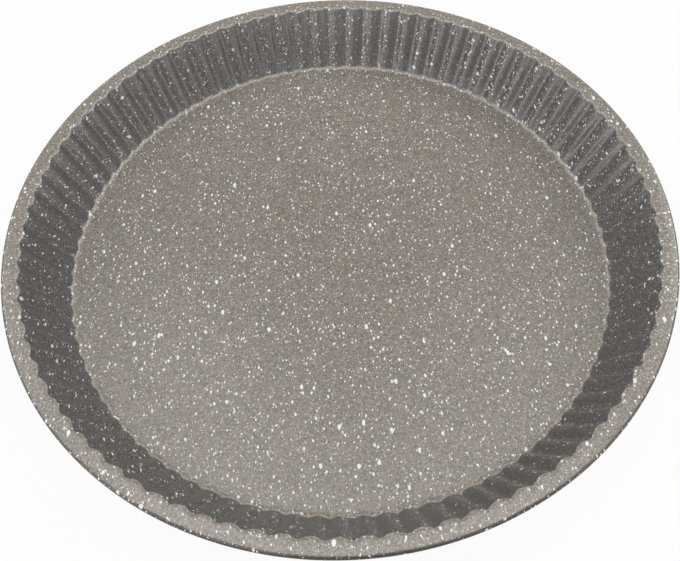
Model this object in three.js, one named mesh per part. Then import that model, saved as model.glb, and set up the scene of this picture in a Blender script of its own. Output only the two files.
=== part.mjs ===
// Fluted quiche dish: a pan pressed from one coated steel sheet, its outer edge rolled round a wire.
// Millimetres, +Z up, the origin at the centre of the underside, the front towards -Y.
import * as THREE from 'three';

// Driving dimensions
const OUTER_DIAMETER = 280; // over the rolled edge
const INNER_DEPTH = 26.6; // from the floor up to the flange
const FLANGE_WIDTH = 6.8; // from the top of the wall to the outer edge
const WALL_LEAN = 28.9; // degrees outwards from upright
const SHEET_THICKNESS = 0.6;
const FOOT_BEND = 2.9; // inside radius between the floor and the wall
const MOUTH_BEND = 1.4; // underside radius between the wall and the flange
const FLUTE_COUNT = 90;
const WALL_FLUTE_DEPTH = 1.95; // from the outside of a lobe to the inside of a ridge, where deepest
const FOOT_FLUTE_DEPTH = 0.65;
const DEEPEST_AT = 0.59; // share of the dish's height where the flutes are deepest
const LOBE_SHARPNESS = 0.15; // 0 makes the outward lobes as broad as the inward ridges
const WIRE_DIAMETER = 1;
const WIRE_CLEARANCE = 0.2; // between the wire and the sheet rolled round it
const CURL_SWEEP = 300; // degrees that the edge is rolled through

// Facets of the solids
const POINTS_PER_FLUTE = 4;
const RIM_COLUMNS = 96;
const FOOT_STEPS = 2;
const MOUTH_STEPS = 1;
const CURL_STEPS = 10;
const WIRE_SIDES = 8;

const COATING = new THREE.MeshStandardMaterial({ color: 0x8e8881, roughness: 0.5, metalness: 0 });
const BARE_STEEL = new THREE.MeshStandardMaterial({ color: 0xa9abad, roughness: 0.4, metalness: 1 });

const FULL_TURN = 2 * Math.PI;
const QUARTER_TURN = FULL_TURN / 4;
const FRONT = -QUARTER_TURN;

// Places in the pan's section, where x is the distance from the axis and y the height
const lean = THREE.MathUtils.degToRad(WALL_LEAN);
const floorTop = SHEET_THICKNESS;
const flangeTop = floorTop + INNER_DEPTH;
const outerRadius = OUTER_DIAMETER / 2;
const mouthRadius = outerRadius - FLANGE_WIDTH;
const floorRadius = mouthRadius - INNER_DEPTH * Math.tan(lean);

// Both bends turn the sheet between level and the wall's slope. Each starts short of its corner, by its
// radius times this reach, and its two sides share one centre.
const bendTurn = QUARTER_TURN - lean;
const bendReach = Math.tan(bendTurn / 2);
const mouthTopBend = MOUTH_BEND + SHEET_THICKNESS;
const footCentre = new THREE.Vector2(floorRadius - FOOT_BEND * bendReach, floorTop + FOOT_BEND);
const mouthCentre = new THREE.Vector2(mouthRadius + mouthTopBend * bendReach, flangeTop - mouthTopBend);

// The rolled edge has the wire in the middle, then the clearance, then the sheet
const wireRadius = WIRE_DIAMETER / 2;
const curlInside = wireRadius + WIRE_CLEARANCE;
const curlOutside = curlInside + SHEET_THICKNESS;
const curlCentre = new THREE.Vector2(outerRadius - curlOutside, flangeTop - curlOutside);
const curlTurn = THREE.MathUtils.degToRad(CURL_SWEEP);

// How far the wall stands out at a height and an angle round the axis: a lobe faces the front, and the
// flutes fade towards the floor and the flange
function fluteOffset(height, angle) {
  const rise = Math.sin((QUARTER_TURN * height) / (DEEPEST_AT * flangeTop));
  const depth = THREE.MathUtils.lerp(FOOT_FLUTE_DEPTH, WALL_FLUTE_DEPTH, rise);
  const phase = FLUTE_COUNT * (angle - FRONT);
  return (depth / 2) * (Math.cos(phase) + LOBE_SHARPNESS * Math.cos(2 * phase));
}

function sectionArc(centre, radius, start, turn, steps) {
  return Array.from({ length: steps + 1 }, (_, step) => {
    const angle = start + (turn * step) / steps;
    return new THREE.Vector2(Math.cos(angle), Math.sin(angle)).multiplyScalar(radius).add(centre);
  });
}

// One side of the sheet from the floor to the flange: the bend at the foot, the wall's middle, then the
// bend at the mouth
function wallSection(footBend, mouthBend) {
  const foot = sectionArc(footCentre, footBend, -QUARTER_TURN, bendTurn, FOOT_STEPS);
  const mouth = sectionArc(mouthCentre, mouthBend, FULL_TURN / 2 - lean, -bendTurn, MOUTH_STEPS);
  const middle = foot.at(-1).clone().lerp(mouth[0], 0.5);
  return [...foot, middle, ...mouth];
}

// One side of the rolled sheet, from the flange round to the cut edge
function curlSection(radius) {
  return sectionArc(curlCentre, radius, QUARTER_TURN, -curlTurn, CURL_STEPS);
}

// A level ring of points through one point of the section
function levelRing(point, columns, offsetAt) {
  return Array.from({ length: columns }, (_, column) => {
    const angle = FRONT + (FULL_TURN * column) / columns;
    const radius = point.x + offsetAt(point.y, angle);
    return new THREE.Vector3(radius * Math.cos(angle), radius * Math.sin(angle), point.y);
  });
}

function flutedRings(section) {
  return section.map((point) => levelRing(point, POINTS_PER_FLUTE * FLUTE_COUNT, fluteOffset));
}

function plainRings(section) {
  return section.map((point) => levelRing(point, RIM_COLUMNS, () => 0));
}

// Triangles between neighbouring rings, which may differ in their number of points, or be one point
function bandBetween(from, to) {
  const fromSteps = from.length > 1 ? from.length : 0;
  const toSteps = to.length > 1 ? to.length : 0;
  const corners = [];
  let i = 0;
  let j = 0;
  while (i < fromSteps || j < toSteps) {
    const start = from[i % from.length];
    const across = to[j % to.length];
    const fromIsNext = i < fromSteps && (j === toSteps || (i + 1) * toSteps <= (j + 1) * fromSteps);
    if (fromIsNext) {
      i += 1;
      corners.push(start, across, from[i % from.length]);
    } else {
      j += 1;
      corners.push(start, across, to[j % to.length]);
    }
  }
  return corners;
}

// The rings follow the sheet from the middle of the floor over its top side, round the rolled edge and
// back along its underside
function panBody() {
  const rings = [
    [new THREE.Vector3(0, 0, floorTop)],
    ...flutedRings(wallSection(FOOT_BEND, mouthTopBend)),
    ...plainRings(curlSection(curlOutside)),
    ...plainRings(curlSection(curlInside).reverse()),
    ...flutedRings(wallSection(FOOT_BEND + SHEET_THICKNESS, MOUTH_BEND).reverse()),
    [new THREE.Vector3(0, 0, 0)],
  ];
  const corners = rings.slice(1).flatMap((ring, before) => bandBetween(rings[before], ring));
  const geometry = new THREE.BufferGeometry().setFromPoints(corners);
  geometry.computeVertexNormals();
  const body = new THREE.Mesh(geometry, COATING);
  body.name = 'pan_body';
  return body;
}

function rimWire() {
  const geometry = new THREE.TorusGeometry(curlCentre.x, wireRadius, WIRE_SIDES, RIM_COLUMNS);
  const wire = new THREE.Mesh(geometry, BARE_STEEL);
  wire.name = 'rim_wire';
  wire.position.z = curlCentre.y;
  return wire;
}

const quicheDish = new THREE.Group();
quicheDish.add(panBody(), rimWire());

export default quicheDish;
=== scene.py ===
"""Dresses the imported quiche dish: a fluted pan pressed from one steel sheet with a speckled stone-effect
coating, its outer edge rolled round a wire, in soft studio light at the photograph's viewing angle."""

from math import atan2, cos, pi, radians, sin, tan

import bmesh
import bpy
from mathutils import Matrix, Vector


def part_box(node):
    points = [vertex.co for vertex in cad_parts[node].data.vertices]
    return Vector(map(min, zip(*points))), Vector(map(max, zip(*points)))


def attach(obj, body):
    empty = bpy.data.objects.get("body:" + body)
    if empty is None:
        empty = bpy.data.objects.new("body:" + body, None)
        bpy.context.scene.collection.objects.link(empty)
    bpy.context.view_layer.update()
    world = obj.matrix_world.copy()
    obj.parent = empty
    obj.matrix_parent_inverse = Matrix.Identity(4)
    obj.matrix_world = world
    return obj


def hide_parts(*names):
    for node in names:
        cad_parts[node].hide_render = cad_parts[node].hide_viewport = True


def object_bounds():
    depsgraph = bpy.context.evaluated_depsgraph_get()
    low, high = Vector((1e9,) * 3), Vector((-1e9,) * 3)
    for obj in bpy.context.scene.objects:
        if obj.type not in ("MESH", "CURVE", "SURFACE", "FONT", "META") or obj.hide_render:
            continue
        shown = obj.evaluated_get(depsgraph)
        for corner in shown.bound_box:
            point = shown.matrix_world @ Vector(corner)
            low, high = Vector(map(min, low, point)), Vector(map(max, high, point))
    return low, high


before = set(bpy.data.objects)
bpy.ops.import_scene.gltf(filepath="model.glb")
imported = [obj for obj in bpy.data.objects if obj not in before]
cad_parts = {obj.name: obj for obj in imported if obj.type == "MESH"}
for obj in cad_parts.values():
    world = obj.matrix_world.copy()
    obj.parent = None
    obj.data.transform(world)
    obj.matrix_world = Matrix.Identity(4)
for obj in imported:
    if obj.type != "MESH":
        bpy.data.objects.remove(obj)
cad_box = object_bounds()

MM = 0.001
FULL_TURN = 2 * pi
QUARTER_TURN = FULL_TURN / 4
UP = Vector((0, 0, 1))

# Sizes that the frame doesn't give, in metres and radians
SHEET_THICKNESS = 0.6 * MM
FLANGE_WIDTH = 6.8 * MM  # from the top of the wall to the outer edge
WALL_LEAN = radians(28.9)  # outwards from upright
FOOT_BEND = 2.9 * MM  # inside radius between the floor and the wall
MOUTH_BEND = 1.4 * MM  # underside radius between the wall and the flange
FLUTE_COUNT = 90
FLUTE_TURN = FULL_TURN / FLUTE_COUNT
WALL_FLUTE_DEPTH = 1.95 * MM  # where deepest
FOOT_FLUTE_DEPTH = 0.65 * MM
DEEPEST_AT = 0.59  # share of the dish's height where the flutes are deepest
LOBE_SHARPNESS = 0.15  # 0 makes the outward lobes as broad as the inward ridges
CURL_SWEEP = radians(300)

# Facets: a flute's lobe and ridge both fall on a column
COLUMNS_PER_FLUTE = 12
FOOT_STEPS = 6
WALL_STEPS = 4
MOUTH_STEPS = 6
CURL_STEPS = 20
WIRE_SIDES = 12
WIRE_COLUMNS = 240
FLOOR_MARGIN = 2 * MM  # a level ring that keeps the bend's shading off the floor
MERGE_DISTANCE = 0.001 * MM

# The light coat, sprayed from above, and the dark one under it, with painted shade and painted highlights
PINKISH_COAT = "#877d75"
GREENISH_COAT = "#827c71"
CLOUD_SIZE = 12 * MM
CLOUD_RANGE = 0.35, 0.65  # of the noise, from all pinkish to all greenish
# painted shade: the steep wall's coat is darkened, because less light falls on it
PAINTED_SHADE_WALL_COAT = "#636260"
WALL_START_TILT = radians(36)  # tilt of the sheet where the wall, and its painted shade, starts
WALL_FULL_TILT = radians(52)
PAINTED_BEND_HIGHLIGHT = 1.65  # times the floor's: a painted highlight on the two bends
# times the floor's: painted light on the flange, standing in for the shade that the walls cast on the floor
PAINTED_FLANGE_LIGHT = 1.089
PAINTED_LIGHT_RISE = 0.4 * MM  # how much of a bend's height, and of the flange's, the painted light takes to change
RIM_SHADE_TILTS = radians(8), radians(32)  # round the rolled edge from its top: where the painted shade starts, and where it is full
# the outside's dark coat, whose colour is also the painted shade on the rolled edge
BASE_COAT_AND_RIM_SHADE = "#34312f"
GRAIN_SIZE = 0.9 * MM
GRAIN_RANGE = 0.3, 0.7  # of the noise, from darkest to lightest
PEEL_SIZE = 0.7 * MM
PEEL_HEIGHT = 0.03 * MM
PEEL_STRENGTH = 0.3

# Flecks of each size: spacing, radius across, and how far the pattern is turned, so that no two line up
FLECK_LAYERS = (
    (0.9 * MM, 0.17 * MM, radians(20)),
    (1.9 * MM, 0.35 * MM, radians(80)),
    (3.6 * MM, 0.52 * MM, radians(140)),
    (7.5 * MM, 0.8 * MM, radians(50)),
)
FLECK_WHITE = "#ffffff"
FLECK_BREADTH = 0.6  # share of a fleck's length, which lies from front to back
FLECK_CORE = 0.8  # share of the radius that is full white
DENT_SPACING = 1.1 * MM  # of the uneven outlines
DENT_DEPTH = 1 * MM

# Times their size on the floor, for the flecks on the wall
SPRAYED_FLANK = 1.12
SHADED_FLANK = 0.55
FLANK_START = 0.6  # sine of the turn within a flute, where a flank starts
LEFT_WALL = 0.88
RIGHT_WALL = 1.1

# The studio, in metres, degrees and watts
FLOOR_REACH = 20
FLOOR_DROP = 0.2 * MM  # the floor lies a hair below the dish
FLOOR_WHITE = 0.95  # share of plain white to the eye: the rest takes the dish's shadow
LAMP_DISTANCE = 1.5
LONG_BOX = 1.2, 0.5
SMALL_BOX = 0.55, 0.55
# Soft boxes: name, azimuth, elevation, width and height, and power
SOFT_BOXES = (
    ("overhead_soft_box", 90, 86, LONG_BOX, 6.1),
    ("right_soft_box", 0, 28, SMALL_BOX, 2.8),
    ("right_back_soft_box", 30, 38, SMALL_BOX, 5.5),
    ("high_right_soft_box", 50, 66, SMALL_BOX, 1.4),
    ("high_left_soft_box", 130, 66, SMALL_BOX, 2.0),
    ("left_back_soft_box", 150, 45, SMALL_BOX, 2.0),
    ("left_soft_box", 180, 28, SMALL_BOX, 3.3),
    ("low_left_front_soft_box", 210, 8, SMALL_BOX, 4.2),
    ("left_front_soft_box", 240, 28, SMALL_BOX, 3.0),
    ("right_front_soft_box", 300, 28, SMALL_BOX, 1.2),
    ("low_right_front_soft_box", 330, 8, SMALL_BOX, 2.0),
)

# Places in the pan's section, as (distance from the axis, 0, height)
outer_radius = cad_box[1].x
flange_top = cad_box[1].z
floor_top = SHEET_THICKNESS
mouth_radius = outer_radius - FLANGE_WIDTH
floor_radius = mouth_radius - (flange_top - floor_top) * tan(WALL_LEAN)
bend_turn = QUARTER_TURN - WALL_LEAN
bend_reach = tan(bend_turn / 2)
mouth_top_bend = MOUTH_BEND + SHEET_THICKNESS
foot_centre = Vector((floor_radius - FOOT_BEND * bend_reach, 0, floor_top + FOOT_BEND))
mouth_centre = Vector((mouth_radius + mouth_top_bend * bend_reach, 0, flange_top - mouth_top_bend))
wire_low, wire_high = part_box("rim_wire")
wire_radius = (wire_high.z - wire_low.z) / 2
curl_centre = Vector((wire_high.x - wire_radius, 0, wire_high.z - wire_radius))
curl_bend = outer_radius - curl_centre.x


def linear(hex_colour):
    """A colour written as sRGB hex, as linear RGBA."""
    srgb = [int(hex_colour[i:i + 2], 16) / 255 for i in (1, 3, 5)]
    return [c / 12.92 if c <= 0.04045 else ((c + 0.055) / 1.055) ** 2.4 for c in srgb] + [1]


def add_node(tree, kind, inputs=None, **settings):
    """Adds a node with its settings. An input is named, or numbered among those that the settings leave in
    use. It gets a value, or a link from an output or from another node's first output in use."""
    node = tree.nodes.new(kind)
    for name, value in settings.items():
        setattr(node, name, value)
    in_use = [socket for socket in node.inputs if socket.enabled]
    names = [socket.name for socket in in_use]
    for key, value in (inputs or {}).items():
        socket = in_use[key if isinstance(key, int) else names.index(key)]
        if isinstance(value, bpy.types.Node):
            value = next(output for output in value.outputs if output.enabled)
        if isinstance(value, bpy.types.NodeSocket):
            tree.links.new(value, socket)
        else:
            socket.default_value = value
    return node


def new_material(name):
    """A material and its node tree, still empty."""
    material = bpy.data.materials.new(name)
    material.use_nodes = True
    material.node_tree.nodes.clear()
    return material, material.node_tree


def wall_share(tree, height):
    """1 on the wall, and 0 on the floor and the flange."""
    thin, thinnest = 1 - cos(WALL_START_TILT), 1 - cos(WALL_FULL_TILT)
    above_foot = add_node(tree, "ShaderNodeMapRange", {
        "Value": height,
        "From Min": floor_top + FOOT_BEND * thin, "From Max": floor_top + FOOT_BEND * thinnest,
    })
    below_mouth = add_node(tree, "ShaderNodeMapRange", {
        "Value": height,
        "From Min": flange_top - mouth_top_bend * thin, "From Max": flange_top - mouth_top_bend * thinnest,
    })
    return add_node(tree, "ShaderNodeMath", {0: above_foot, 1: below_mouth}, operation="MULTIPLY")


def painted_bend_and_flange_light(tree, height):
    """1 on the floor, most on the two bends, where a highlight is painted, and less on the flange, where
    painted light makes it lighter than the floor.
    """
    foot = add_node(tree, "ShaderNodeMapRange", {
        "Value": height, "From Min": floor_top, "From Max": floor_top + PAINTED_LIGHT_RISE,
        "To Min": 1, "To Max": PAINTED_BEND_HIGHLIGHT,
    })
    flange = add_node(tree, "ShaderNodeMapRange", {
        "Value": height, "From Min": flange_top - PAINTED_LIGHT_RISE, "From Max": flange_top,
        "To Min": 1, "To Max": PAINTED_FLANGE_LIGHT / PAINTED_BEND_HIGHLIGHT,
    })
    return add_node(tree, "ShaderNodeMath", {0: foot, 1: flange}, operation="MULTIPLY")


def painted_rim_shade(tree, place):
    """0 as far as the top of the rolled edge, and 1 on its outer side: painted shade, with the dark coat's
    colour put where the edge is in shade.
    """
    across = add_node(tree, "ShaderNodeVectorMath", {0: place, 1: (1, 1, 0)}, operation="MULTIPLY")
    radius = add_node(tree, "ShaderNodeVectorMath", {0: across}, operation="LENGTH")
    start, end = (curl_centre.x + curl_bend * sin(tilt) for tilt in RIM_SHADE_TILTS)
    return add_node(tree, "ShaderNodeMapRange", {"Value": radius, "From Min": start, "From Max": end})


def fleck_growth(tree, x, y, wall):
    """The flecks are sprayed from one side: on the wall they grow on one flank of each flute and shrink
    on the other, and they are larger on the right wall than on the left. It is 1 off the wall."""
    around = add_node(tree, "ShaderNodeMath", {0: y, 1: x}, operation="ARCTAN2")
    phase = add_node(tree, "ShaderNodeMath", {
        0: around, 1: FLUTE_COUNT, 2: FLUTE_COUNT * QUARTER_TURN,
    }, operation="MULTIPLY_ADD")
    flank = add_node(tree, "ShaderNodeMath", {0: phase}, operation="SINE")
    sprayed = add_node(tree, "ShaderNodeMapRange", {
        "Value": flank, "From Min": -FLANK_START, "From Max": FLANK_START,
        "To Min": SPRAYED_FLANK, "To Max": SHADED_FLANK,
    })
    aside = add_node(tree, "ShaderNodeMapRange", {
        "Value": x, "From Min": -mouth_radius, "From Max": mouth_radius,
        "To Min": LEFT_WALL, "To Max": RIGHT_WALL,
    })
    on_wall = add_node(tree, "ShaderNodeMath", {0: sprayed, 1: aside}, operation="MULTIPLY")
    return add_node(tree, "ShaderNodeMix", {"Factor": wall, "A": 1, "B": on_wall})


def white_flecks(tree, place, growth):
    """1 on the flecks: each is where a long ball with a dented outline, round a scattered point, cuts the
    surface. The growth makes them larger or smaller from place to place."""
    dents = add_node(tree, "ShaderNodeTexNoise", {"Vector": place, "Scale": 1 / DENT_SPACING, "Detail": 2})
    centred = add_node(tree, "ShaderNodeVectorMath", {
        0: dents.outputs["Color"], 1: (0.5, 0.5, 0.5),
    }, operation="SUBTRACT")
    dented = add_node(tree, "ShaderNodeVectorMath", {
        0: centred, 1: (DENT_DEPTH, DENT_DEPTH, DENT_DEPTH), 2: place,
    }, operation="MULTIPLY_ADD")
    flecks = 0
    for spacing, radius, turn in FLECK_LAYERS:
        turned = add_node(tree, "ShaderNodeMapping", {
            "Vector": dented, "Rotation": (0, 0, turn), "Scale": (1, FLECK_BREADTH, 1),
        })
        cells = add_node(tree, "ShaderNodeTexVoronoi", {
            "Vector": turned, "Scale": 1 / spacing, "Randomness": 1,
        })
        distance = add_node(tree, "ShaderNodeMath", {0: cells, 1: growth}, operation="DIVIDE")
        edge = radius / spacing
        layer = add_node(tree, "ShaderNodeMapRange", {
            "Value": distance, "From Min": edge, "From Max": edge * FLECK_CORE,
        })
        flecks = add_node(tree, "ShaderNodeMath", {0: flecks, 1: layer}, operation="MAXIMUM")
    return flecks


def grained(tree, place, colour, spread):
    """The colour with light and dark grain, about a millimetre across."""
    grain = add_node(tree, "ShaderNodeTexNoise", {"Vector": place, "Scale": 1 / GRAIN_SIZE, "Detail": 3})
    darkest, lightest = GRAIN_RANGE
    shade = add_node(tree, "ShaderNodeMapRange", {
        "Value": grain, "From Min": darkest, "From Max": lightest,
        "To Min": 1 - spread, "To Max": 1 + spread,
    })
    return add_node(tree, "ShaderNodeMix", {
        "Factor": 1, "A": colour, "B": shade,
    }, data_type="RGBA", blend_type="MULTIPLY")


def orange_peel(tree, place):
    """The slight unevenness that spraying leaves."""
    peel = add_node(tree, "ShaderNodeTexNoise", {"Vector": place, "Scale": 1 / PEEL_SIZE, "Detail": 1})
    return add_node(tree, "ShaderNodeBump", {
        "Height": peel, "Strength": PEEL_STRENGTH, "Distance": PEEL_HEIGHT,
    })


def stone_effect_coating():
    """Sprayed and baked non-stick coating: a satin warm grey full of white flecks, from fine dust to
    grains of two millimetres, clouded on the level parts. Painted shade darkens the steep wall and the
    outer side of the rolled edge, painted highlights lighten the two bends, and painted light lightens the
    flange."""
    material, tree = new_material("stone_effect_coating")
    place = add_node(tree, "ShaderNodeTexCoord").outputs["Object"]
    x, y, height = add_node(tree, "ShaderNodeSeparateXYZ", {"Vector": place}).outputs
    wall = wall_share(tree, height)
    noise = add_node(tree, "ShaderNodeTexNoise", {"Vector": place, "Scale": 1 / CLOUD_SIZE, "Detail": 2})
    pinkish, greenish = CLOUD_RANGE
    clouds = add_node(tree, "ShaderNodeMapRange", {
        "Value": noise, "From Min": pinkish, "From Max": greenish,
    })
    clouded = add_node(tree, "ShaderNodeMix", {
        "Factor": clouds, "A": linear(PINKISH_COAT), "B": linear(GREENISH_COAT),
    }, data_type="RGBA")
    # painted highlights on the two bends and painted light on the flange
    with_painted_light = add_node(tree, "ShaderNodeMix", {
        "Factor": 1, "A": clouded, "B": painted_bend_and_flange_light(tree, height),
    }, data_type="RGBA", blend_type="MULTIPLY")
    # painted shade: the steep wall takes a darker colour
    with_painted_wall_shade = add_node(tree, "ShaderNodeMix", {
        "Factor": wall, "A": with_painted_light, "B": linear(PAINTED_SHADE_WALL_COAT),
    }, data_type="RGBA")
    # painted shade on the outer side of the rolled edge
    with_painted_rim_shade = add_node(tree, "ShaderNodeMix", {
        "Factor": painted_rim_shade(tree, place), "A": with_painted_wall_shade, "B": linear(BASE_COAT_AND_RIM_SHADE),
    }, data_type="RGBA")
    colour = add_node(tree, "ShaderNodeMix", {
        "Factor": white_flecks(tree, place, fleck_growth(tree, x, y, wall)),
        "A": grained(tree, place, with_painted_rim_shade, 0.5), "B": linear(FLECK_WHITE),
    }, data_type="RGBA")
    shader = add_node(tree, "ShaderNodeBsdfPrincipled", {
        "Base Color": colour, "Roughness": 0.28, "IOR": 1.57, "Normal": orange_peel(tree, place),
    })
    add_node(tree, "ShaderNodeOutputMaterial", {"Surface": shader})
    return material


def dark_base_coat():
    """Sprayed base coat on the outside: a plain satin charcoal with a faint grain."""
    material, tree = new_material("dark_base_coat")
    place = add_node(tree, "ShaderNodeTexCoord").outputs["Object"]
    shader = add_node(tree, "ShaderNodeBsdfPrincipled", {
        "Base Color": grained(tree, place, linear(BASE_COAT_AND_RIM_SHADE), 0.2),
        "Roughness": 0.42, "Normal": orange_peel(tree, place),
    })
    add_node(tree, "ShaderNodeOutputMaterial", {"Surface": shader})
    return material


def drawn_steel_wire():
    """Drawn steel wire: bare grey metal, rubbed bright in some places and duller in others."""
    material, tree = new_material("drawn_steel_wire")
    place = add_node(tree, "ShaderNodeTexCoord").outputs["Object"]
    rub_size = 0.4 * MM
    rubs = add_node(tree, "ShaderNodeTexNoise", {"Vector": place, "Scale": 1 / rub_size, "Detail": 3})
    roughness = add_node(tree, "ShaderNodeMapRange", {"Value": rubs, "To Min": 0.3, "To Max": 0.5})
    shader = add_node(tree, "ShaderNodeBsdfPrincipled", {
        "Base Color": linear("#a9abad"), "Metallic": 1, "Roughness": roughness,
    })
    add_node(tree, "ShaderNodeOutputMaterial", {"Surface": shader})
    return material


def piece_from(bm, name, material):
    """Turns a finished bmesh into a smooth-shaded object at the origin."""
    mesh = bpy.data.meshes.new(name)
    for face in bm.faces:
        face.smooth = True
    bm.to_mesh(mesh)
    bm.free()
    mesh.materials.append(material)
    piece = bpy.data.objects.new(name, mesh)
    bpy.context.scene.collection.objects.link(piece)
    return piece


def draw_line(bm, pen, x, z):
    """Draws the section on from its last point, straight to a new one."""
    tip = bmesh.ops.extrude_vert_indiv(bm, verts=[pen])["verts"][0]
    tip.co = (x, 0, z)
    return tip


def draw_arc(bm, pen, centre, turn, steps):
    """Draws the section on from its last point, round a centre."""
    spun = bmesh.ops.spin(bm, geom=[pen], cent=centre, axis=(0, 1, 0), angle=turn, steps=steps)
    return next(part for part in spun["geom_last"] if isinstance(part, bmesh.types.BMVert))


def turn_on_axis(bm, turn, columns):
    """Turns a section drawn at y = 0 about the upright axis."""
    section = bm.verts[:] + bm.edges[:]
    whole = turn == FULL_TURN
    bmesh.ops.spin(bm, geom=section, cent=(0, 0, 0), axis=UP, angle=turn, steps=columns, use_merge=whole)


def close_up(bm):
    """Merges the points that meet, and turns every face outwards."""
    bmesh.ops.remove_doubles(bm, verts=bm.verts, dist=MERGE_DISTANCE)
    bmesh.ops.recalc_face_normals(bm, faces=bm.faces)


def press_flute(bm):
    """Pushes the wall and its two bends in and out round the axis, with a lobe at the front. The flutes
    are deepest a little above the middle of the wall."""
    slack = 0.01 * MM
    for vert in bm.verts:
        across = vert.co.xy
        if not foot_centre.x - slack < across.length < mouth_centre.x + slack:
            continue
        rise = sin(QUARTER_TURN * vert.co.z / (DEEPEST_AT * flange_top))
        depth = FOOT_FLUTE_DEPTH + (WALL_FLUTE_DEPTH - FOOT_FLUTE_DEPTH) * rise
        phase = FLUTE_COUNT * (atan2(vert.co.y, vert.co.x) + QUARTER_TURN)
        offset = depth / 2 * (cos(phase) + LOBE_SHARPNESS * cos(2 * phase))
        vert.co.xy = across + across.normalized() * offset


def repeat_flute(bm):
    """Repeats the slice that holds one flute all round the axis."""
    slice_parts = bm.verts[:] + bm.edges[:] + bm.faces[:]
    copies = FLUTE_COUNT - 1
    bmesh.ops.spin(
        bm, geom=slice_parts, cent=(0, 0, 0), axis=UP,
        angle=copies * FLUTE_TURN, steps=copies, use_duplicate=True,
    )


def fluted_pan(inside, outside):
    """The sheet's upper side from the middle of the floor to its rolled edge, then given its thickness."""
    bm = bmesh.new()
    pen = bmesh.ops.create_vert(bm, co=(0, 0, floor_top))["vert"][0]
    pen = draw_line(bm, pen, foot_centre.x - FLOOR_MARGIN, floor_top)
    pen = draw_line(bm, pen, foot_centre.x, floor_top)
    pen = draw_arc(bm, pen, foot_centre, -bend_turn, FOOT_STEPS)
    wall_start = pen.co.copy()
    wall_end = mouth_centre + mouth_top_bend * Vector((-cos(WALL_LEAN), 0, sin(WALL_LEAN)))
    for step in range(1, WALL_STEPS + 1):
        place = wall_start.lerp(wall_end, step / WALL_STEPS)
        pen = draw_line(bm, pen, place.x, place.z)
    pen = draw_arc(bm, pen, mouth_centre, bend_turn, MOUTH_STEPS)
    pen = draw_line(bm, pen, curl_centre.x, flange_top)
    draw_arc(bm, pen, curl_centre, CURL_SWEEP, CURL_STEPS)
    turn_on_axis(bm, FLUTE_TURN, COLUMNS_PER_FLUTE)
    press_flute(bm)
    repeat_flute(bm)
    close_up(bm)
    pan = piece_from(bm, "fluted_pan", inside)
    pan.data.materials.append(outside)
    thickness = pan.modifiers.new("sheet_thickness", "SOLIDIFY")
    thickness.thickness = SHEET_THICKNESS
    thickness.offset = -1
    thickness.use_even_offset = True
    thickness.material_offset = thickness.material_offset_rim = 1
    return pan


def rolled_in_wire(material):
    """The wire ring inside the rolled edge."""
    bm = bmesh.new()
    upright = Matrix.Translation(curl_centre) @ Matrix.Rotation(QUARTER_TURN, 4, "X")
    bmesh.ops.create_circle(bm, segments=WIRE_SIDES, radius=wire_radius, matrix=upright)
    turn_on_axis(bm, FULL_TURN, WIRE_COLUMNS)
    close_up(bm)
    return piece_from(bm, "rolled_in_wire", material)


def white_to_the_eye(tree):
    """1 for rays that only look: from the camera, or by way of a reflection or a clear body."""
    rays = add_node(tree, "ShaderNodeLightPath").outputs
    seen = add_node(tree, "ShaderNodeMath", {
        0: rays["Is Camera Ray"], 1: rays["Is Glossy Ray"],
    }, operation="MAXIMUM")
    return add_node(tree, "ShaderNodeMath", {0: seen, 1: rays["Is Transmission Ray"]}, operation="MAXIMUM")


def studio_floor():
    """A plain pale floor that runs far past the view."""
    material, tree = new_material("studio_floor")
    share = add_node(tree, "ShaderNodeMath", {
        0: white_to_the_eye(tree), 1: FLOOR_WHITE,
    }, operation="MULTIPLY")
    matt = add_node(tree, "ShaderNodeBsdfDiffuse", {"Color": linear("#f4f4f4")})
    white = add_node(tree, "ShaderNodeEmission", {"Color": linear("#ffffff"), "Strength": 1})
    shown = add_node(tree, "ShaderNodeMixShader", {"Fac": share, 1: matt, 2: white})
    add_node(tree, "ShaderNodeOutputMaterial", {"Surface": shown})
    bm = bmesh.new()
    bmesh.ops.create_grid(bm, x_segments=1, y_segments=1, size=FLOOR_REACH)
    bmesh.ops.translate(bm, verts=bm.verts, vec=-UP * FLOOR_DROP)
    floor = piece_from(bm, "floor", material)


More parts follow.
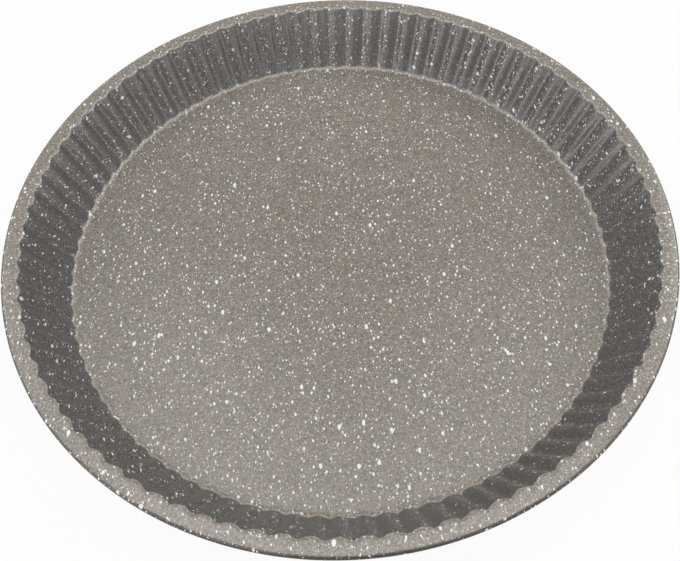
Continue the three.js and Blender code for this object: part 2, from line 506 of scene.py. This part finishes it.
def soft_box(name, azimuth, elevation, size, power):
    """A rectangular soft box that faces the dish from LAMP_DISTANCE away."""
    level = cos(radians(elevation))
    place = LAMP_DISTANCE * Vector((
        level * cos(radians(azimuth)), level * sin(radians(azimuth)), sin(radians(elevation)),
    ))
    lamp = bpy.data.lights.new(name, "AREA")
    lamp.shape = "RECTANGLE"
    lamp.size, lamp.size_y = size
    lamp.energy = power
    box = bpy.data.objects.new(name, lamp)
    box.location = place
    box.rotation_mode = "QUATERNION"
    box.rotation_quaternion = (-place).to_track_quat("-Z", "Y")
    bpy.context.scene.collection.objects.link(box)


def studio_light():
    """A long soft box overhead and small ones all round the dish, in a room that looks white."""
    world = bpy.data.worlds.new("white_room")
    bpy.context.scene.world = world
    world.use_nodes = True
    tree = world.node_tree
    tree.nodes.clear()
    white = add_node(tree, "ShaderNodeBackground", {
        "Color": linear("#ffffff"), "Strength": white_to_the_eye(tree),
    })
    add_node(tree, "ShaderNodeOutputWorld", {"Surface": white})
    for box in SOFT_BOXES:
        soft_box(*box)


def photograph_camera():
    """The photograph's viewing angle: above the front, turned a little round the line of sight."""
    elevation, roll = radians(57.57), radians(-2.87)
    target = Vector((-0.08 * MM, -15.47 * MM, 2.22 * MM))
    distance = 354.3 * MM
    back = Vector((0, -cos(elevation), sin(elevation)))
    level_up = Vector((0, sin(elevation), cos(elevation)))
    right = Vector((cos(roll), 0, 0)) + level_up * sin(roll)
    up = Vector((-sin(roll), 0, 0)) + level_up * cos(roll)
    facing = Matrix((right, up, back)).transposed().to_4x4()
    data = bpy.data.cameras.new("photograph_camera")
    data.sensor_width = 36
    data.lens = 42.9
    data.clip_start = 1 * MM
    camera = bpy.data.objects.new("photograph_camera", data)
    camera.matrix_world = Matrix.Translation(target + back * distance) @ facing
    bpy.context.scene.collection.objects.link(camera)
    bpy.context.scene.camera = camera


photograph_camera()
studio_light()
studio_floor()
pan = fluted_pan(stone_effect_coating(), dark_base_coat())
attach(pan, "root")
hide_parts("pan_body")
wire = rolled_in_wire(drawn_steel_wire())
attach(wire, "root")
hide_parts("rim_wire")
bpy.context.scene.view_settings.view_transform = "Standard"
